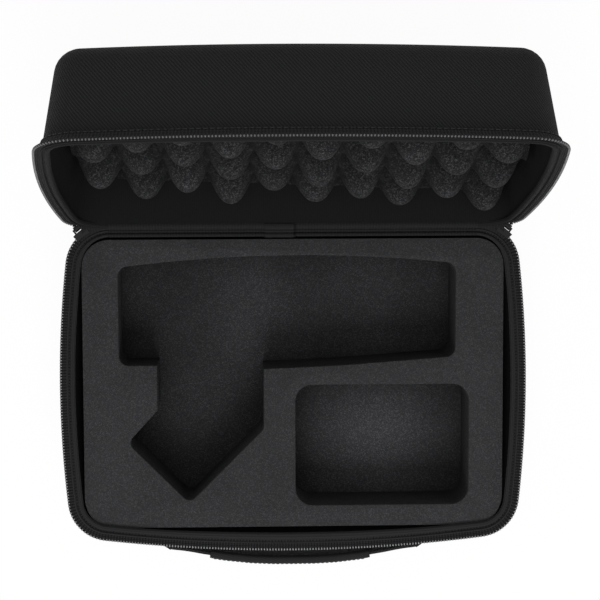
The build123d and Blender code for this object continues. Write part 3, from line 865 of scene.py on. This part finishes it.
def pillow(half_thick, half_width, count, power):
    """Closed section with full faces and rounded edges."""
    section = []
    for k in range(count):
        turn = 2 * pi * (k + 0.5) / count
        c, s = cos(turn), sin(turn)
        section.append((half_thick * abs(c) ** (2 / power) * (1 if c > 0 else -1),
                        half_width * abs(s) ** (2 / power) * (1 if s > 0 else -1)))
    return section


def strap():
    """Webbing whose middle goes with the handle, and whose ends twist out to the patches."""
    webbing = pillow(1.35, 12.5, 28, 6.0)
    middle = swept("handle_webbing", webbing, handle_line(-54.0, 49.0, 60))
    dressed(smooth(middle, 50), WEBBING, "webbing", "handle", "handle_strap")
    reach = STRAP_END_X + 0.7
    for side, way, start, end in (("left", -1.0, -reach, -53.0), ("right", 1.0, 48.0, reach)):
        twist = swept(f"handle_webbing_{side}", webbing, handle_line(start, end, 30))
        dressed(smooth(twist, 50), WEBBING, "webbing", None, "handle_strap")
        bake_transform(twist)


def grip():
    """Padded sleeve on the strap, drawn in a little at its ends, with its rows of stitches."""
    drawn_in = 2.0
    line = handle_line(SLEEVE_LEFT, SLEEVE_RIGHT, 60)
    sleeve = swept("handle_sleeve", pillow(3.5, 15.3, 40, 3.6), line)
    for vertex in sleeve.data.vertices:
        end = min(vertex.co.x / MM - SLEEVE_LEFT, SLEEVE_RIGHT - vertex.co.x / MM)
        if end < drawn_in:
            share = 0.955 + 0.045 * end / drawn_in
            vertex.co.z = (HANDLE_UP + (vertex.co.z / MM - HANDLE_UP) * share) * MM
    dressed(smooth(sleeve, 50), SLEEVE, "grip_cover", "handle", "handle_grip")
    rows = []
    for out, up in ((3.05, 12.2), (3.05, -12.2), (-3.05, 12.2), (-3.05, -12.2)):
        rows.append([(x + out * nx, y + out * ny, HANDLE_UP + up)
                     for x, y, nx, ny, _ in line[2:-2]])
    for x, y, nx, ny, _ in (line[2], line[-3]):
        rise = (-11.5, -6.0, 0.0, 6.0, 11.5)
        rows.append([(x + 3.3 * nx, y + 3.3 * ny, HANDLE_UP + up) for up in rise])
    thread = stitches("handle_stitching", rows, pitch=3.0, thick=0.3)
    dressed(thread, THREAD, "grip_cover", "handle")


def on_front_wall(x, up, lift):
    """Place on the outside of the base's front wall, lifted off its face."""
    radius = FRONT_RADIUS - inset(HEIGHT - up, 0.0) + lift
    return (x, FRONT_Y - (radius**2 - x**2) ** 0.5, up)


def sewn_end(side):
    """Patch that holds one end of the strap, with a row round it and a crossed box."""
    piece = cad_copy(f"handle_sewn_end_{side}", f"handle_anchor_{side}")
    bevelled(piece, 0.4 * MM, 40)
    smooth(piece)
    mesh = piece.data
    layer = mesh.uv_layers.get("length") or mesh.uv_layers.new(name="length")
    for face in mesh.polygons:
        for loop in face.loop_indices:
            point = mesh.vertices[mesh.loops[loop].vertex_index].co
            layer.data[loop].uv = (point.x + point.y * 0.3, point.z)
    dressed(piece, WEBBING, "webbing", "base", f"handle_anchor_{side}")

    way = 1.0 if side == "right" else -1.0
    near, middle, far = 88.5, 103.0, 117.5
    low, high = HANDLE_UP - 14.0, HANDLE_UP + 14.0
    box_near, box_far, box_low, box_high = 105.0, 115.0, low + 4.0, high - 4.0
    rows = [[(near, up), (middle, up), (far, up)] for up in (high, low)]
    rows += [[(far, low + 2.0), (far, high - 2.0)],
             [(box_near, box_low), (box_near, box_high)], [(box_near, box_low), (box_far, box_high)],
             [(box_near, box_high), (box_far, box_low)], [(box_far, box_low), (box_far, box_high)]]
    rows += [[(box_near + 1.5, up), (box_far - 1.5, up)] for up in (box_high, box_low)]
    lines = [[on_front_wall(way * x, up, 1.6) for x, up in row] for row in rows]
    thread = stitches(f"sewn_end_stitching_{side}", lines, pitch=2.8, thick=0.3)
    dressed(thread, THREAD, "webbing", "base")


def tape_seam(half):
    """Row of stitches that holds the zip tape to the cover."""
    reach, count = corner_length(36.0), 150
    out, height = 0.28, -6.2
    line = []
    for k in range(count + 1):
        x, y, _, _ = on_rim(-reach + 2 * reach * k / count, out)
        line.append((x, y, height))
    thread = stitches(f"{half}_tape_stitching", [line], pitch=3.6, thick=0.26)
    dressed(placed(thread, PLACE[half]), THREAD, "zip_tape", half)


strap()
grip()
for side in ("left", "right"):
    sewn_end(side)
for half in ("base", "lid"):
    tape_seam(half)


# ---- cloth of the hinge ----
def hinge_band(name, side, start, end, thickness, columns, finish, *stands_for):
    """Cloth that lies on both halves along the same line and folds between them.

    side lists its stations on a half, as (out, height), from the far edge to the fold.
    """
    fold_steps, row_step = 4, 1.2
    rows = 2 * len(side) + fold_steps - 1
    put_down()
    bpy.ops.mesh.primitive_grid_add(x_subdivisions=columns, y_subdivisions=rows - 1, size=2.0)
    piece = started(name)
    mesh = piece.data
    layer = mesh.uv_layers.new(name="length")
    spots = {}
    for vertex in mesh.vertices:
        column = round((vertex.co.x + 1) / 2 * columns)
        row = round((vertex.co.y + 1) / 2 * (rows - 1))
        s = start + (end - start) * column / columns
        out, height = side[min(row, rows - 1 - row, len(side) - 1)]
        edge = {}
        for half, way in (("base", 1.0), ("lid", -1.0)):
            x, y, _, _ = on_rim(way * s, out)
            edge[half] = PLACE[half] @ (Vector((x, y, height)) * MM)
        if row < len(side):
            vertex.co = edge["base"]
        elif row >= rows - len(side):
            vertex.co = edge["lid"]
        else:
            vertex.co = edge["base"].lerp(edge["lid"], (row - len(side) + 1) / fold_steps)
        spots[vertex.index] = (s * MM, row * row_step * MM)
    for loop in mesh.loops:
        layer.data[loop.index].uv = spots[loop.vertex_index]
    modified(piece, "SOLIDIFY", thickness=thickness * MM, offset=0.0)
    smooth(piece, 60)
    dressed(piece, finish, "binding_tape", None, *stands_for)
    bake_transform(piece)


def hinge_cloth():
    """The band outside, the band inside over both bindings, the lap in its middle, and painted shade
    at its end.
    """
    middle = HALF_LENGTH
    outer = [(-inset(depth, -0.3), -depth) for depth in (14.0, 11.0, 8.0, 5.0, 3.2)]
    outer += [(0.75, -2.3), (0.9, -1.4), (0.85, -0.5)]
    reach = corner_length(45.0)
    hinge_band("hinge_cloth", outer, reach, 2 * middle - reach, 0.6, 150, HINGE,
               "base_hinge_strip", "lid_hinge_strip")
    # Up beside the inner bead, over it, down to the seam, and over the outer bead to the fold.
    inner = [(-3.95, -2.3), (-3.95, -1.6)]
    for turn in (165, 135, 105, 75, 45, 20):
        inner.append((-2.8 + 1.2 * cos(radians(turn)), -1.5 + 1.6 * sin(radians(turn))))
    inner += [(-1.35, -1.5), (-1.0, -0.6), (-0.45, -0.15), (0.1, -0.3), (0.4, -0.6)]
    reach = corner_length(88.0)
    hinge_band("hinge_inner_cloth", inner, reach, 2 * middle - reach, 0.35, 120, HINGE)
    for name, start, end, proud, columns, finish in (
            ("hinge_cloth_lap", -0.6, 18.6, 0.75, 16, LAP),
            # The dark strip at the lap's end is painted shade.
            ("hinge_lap_edge_painted_shade", -1.4, -0.2, 0.85, 3, LAP_EDGE_SHADE)):
        over = [(out * 1.06 - 0.1, height + proud) for out, height in inner]
        hinge_band(name, over, middle + start, middle + end, 0.8, columns, finish)


def paint_metal():
    """Give the sliders, the pulls and the stops their finish as they are in the solids."""
    for name, item in NODES.items():
        if "slider" in name or "pull" in name or "stops" in name:
            for slot in item.material_slots:
                slot.material = METAL


hinge_cloth()
paint_metal()


# ---- floor, light and camera ----
def seen_directly(tree):
    """1 where the camera, or a mirror in its view, looks straight at the surface, else 0."""
    path = node(tree, "ShaderNodeLightPath")
    return maths(tree, "MAXIMUM", path.outputs["Is Camera Ray"], path.outputs["Is Glossy Ray"])


def floor():
    """White floor that glows where it is seen, so that it stays white under the shadow."""
    put_down()
    bpy.ops.mesh.primitive_plane_add(size=8.0)
    plain = started("floor")
    finish, tree, shader = new_finish("plain_floor")
    shader.inputs["Base Color"].default_value = (0.95, 0.95, 0.95, 1)
    matt(shader, 0.9, 0.1)
    glow = node(tree, "ShaderNodeEmission", Strength=1.0)
    mix = tree.nodes.new("ShaderNodeMixShader")
    share = maths(tree, "MULTIPLY", seen_directly(tree), 0.95)
    wired(tree, mix.inputs, (share, shader.outputs["BSDF"], glow.outputs["Emission"]))
    tree.links.new(mix.outputs["Shader"], tree.nodes["Material Output"].inputs["Surface"])
    plain.data.materials.append(finish)


def lamp(name, place, size, watts):
    """Square lamp aimed at the case."""
    aim = Vector((0, 0, 0.1))
    data = bpy.data.lights.new(name, "AREA")
    data.size = size
    data.energy = watts
    made = bpy.data.objects.new(name, data)
    bpy.context.scene.collection.objects.link(made)
    made.location = place
    made.rotation_euler = (aim - Vector(place)).to_track_quat("-Z", "Y").to_euler()


def light():
    """White surroundings that are seen at full strength and light the case at less."""
    world = bpy.context.scene.world or bpy.data.worlds.new("World")
    bpy.context.scene.world = world
    world.use_nodes = True
    tree = world.node_tree
    tree.nodes["Background"].inputs["Color"].default_value = (1, 1, 1, 1)
    level = ranged(tree, seen_directly(tree), (0.0, 1.0), (0.38, 1.0))
    tree.links.new(level, tree.nodes["Background"].inputs["Strength"])
    lamp("overhead", (-0.15, 0.1, 1.7), 1.0, 7.0)
    lamp("front", (0.0, -1.0, 1.45), 0.8, 18.0)


def camera():
    """Long lens high over the case, looking nearly straight down."""
    data = bpy.data.cameras.new("camera")
    data.sensor_width = 36.0
    data.lens = 108.6
    made = bpy.data.objects.new("camera", data)
    bpy.context.scene.collection.objects.link(made)
    across = Vector((0.99941938, -0.0033173, 0.03391003))
    up = Vector((0.00649601, 0.99554495, -0.09406411))
    back = Vector((-0.03344692, 0.09422978, 0.99498847))
    turn = Matrix((across, up, back)).transposed().to_4x4()
    place = Vector((-35.2, 168.5, 1230.9)) * MM
    made.matrix_world = Matrix.Translation(place) @ turn
    bpy.context.scene.camera = made


floor()
light()
camera()
bpy.context.scene.view_settings.view_transform = "Standard"
